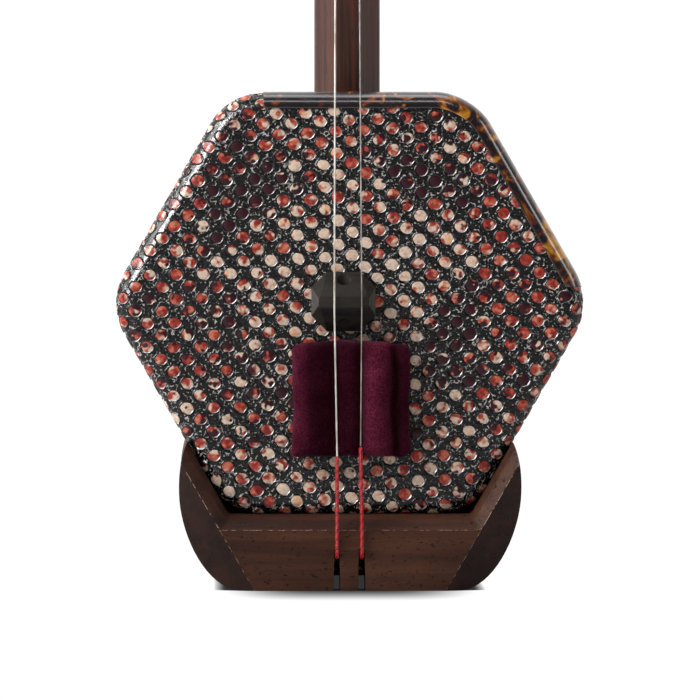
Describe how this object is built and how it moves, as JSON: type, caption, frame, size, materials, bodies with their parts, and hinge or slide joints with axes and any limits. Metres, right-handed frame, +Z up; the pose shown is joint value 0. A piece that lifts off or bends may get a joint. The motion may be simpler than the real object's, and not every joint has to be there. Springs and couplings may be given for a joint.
{
  "type": "erhu",
  "caption": "Two-stringed bowed spike fiddle: hexagonal skin-faced sound box on a wooden base, long octagonal neck with rear tuning pegs and a string loop.",
  "frame": {"origin": "on the floor, under the centre of the whole instrument's box in X and Y; the neck's axis stands 35.6 mm in front of it, at y = -0.0356", "axes": "+Z up along the neck, -Y out of the skinned front of the sound box, +X to the right of somebody looking at that front"},
  "size_m": [0.0978, 0.1748, 0.8096],
  "materials": {
    "rosewood_box": "dark rosewood under a clear glossy lacquer",
    "rosewood_neck": "dark rosewood, oiled and polished",
    "rosewood_base": "dark rosewood, satin and open-pored, worn paler along its edges",
    "python_skin": "glossy python skin, dark net between cream, brick-red and maroon scales",
    "tortoiseshell": "thin glossy tortoiseshell-pattern sheet, amber blotches in near-black brown",
    "bone": "polished bone",
    "string_steel": "bright wound steel",
    "red_silk": "twisted red silk thread",
    "qianjin_thread": "wound waxed thread",
    "bridge_wood": "dull dark grey-black wood",
    "burgundy_velvet": "fuzzy burgundy velvet",
    "brass": "plain brass"
  },
  "bodies": {
    "body": {"box_stave_top": "rosewood_box", "box_stave_upper_left": "rosewood_box", "box_stave_upper_right": "rosewood_box", "box_stave_lower_left": "rosewood_box", "box_stave_lower_right": "rosewood_box", "box_stave_bottom": "rosewood_box", "python_skin": "python_skin", "bow_guard": "tortoiseshell", "rear_sound_window": "rosewood_box", "rear_rim": "rosewood_box", "neck": "rosewood_neck", "neck_head": "rosewood_neck", "head_inlay": "bone", "inner_string": "string_steel", "outer_string": "string_steel", "inner_string_silk": "red_silk", "outer_string_silk": "red_silk", "bridge": "bridge_wood", "damper_pad": "burgundy_velvet", "base_block": "rosewood_base", "base_washer": "brass", "base_screw": "brass", "inner_string_pin": "brass", "outer_string_pin": "brass"},
    "upper_peg": {"upper_peg": "rosewood_neck", "upper_peg_button": "bone", "upper_string_coil": "string_steel"},
    "lower_peg": {"lower_peg": "rosewood_neck", "lower_peg_button": "bone", "lower_string_coil": "string_steel"},
    "qianjin": {"qianjin_loop": "qianjin_thread"}
  },
  "joints": [
    {"name": "upper_peg_turn", "type": "hinge", "parent": "body", "child": "upper_peg", "pos_m": [0, -0.03564, 0.745], "axis": [0, 1, 0], "continuous": true},
    {"name": "lower_peg_turn", "type": "hinge", "parent": "body", "child": "lower_peg", "pos_m": [0, -0.03564, 0.65], "axis": [0, 1, 0], "continuous": true},
    {"name": "qianjin_slide", "type": "slide", "parent": "body", "child": "qianjin", "axis": [0, 0, 1], "range_m": [0, 0.03]}
  ]
}
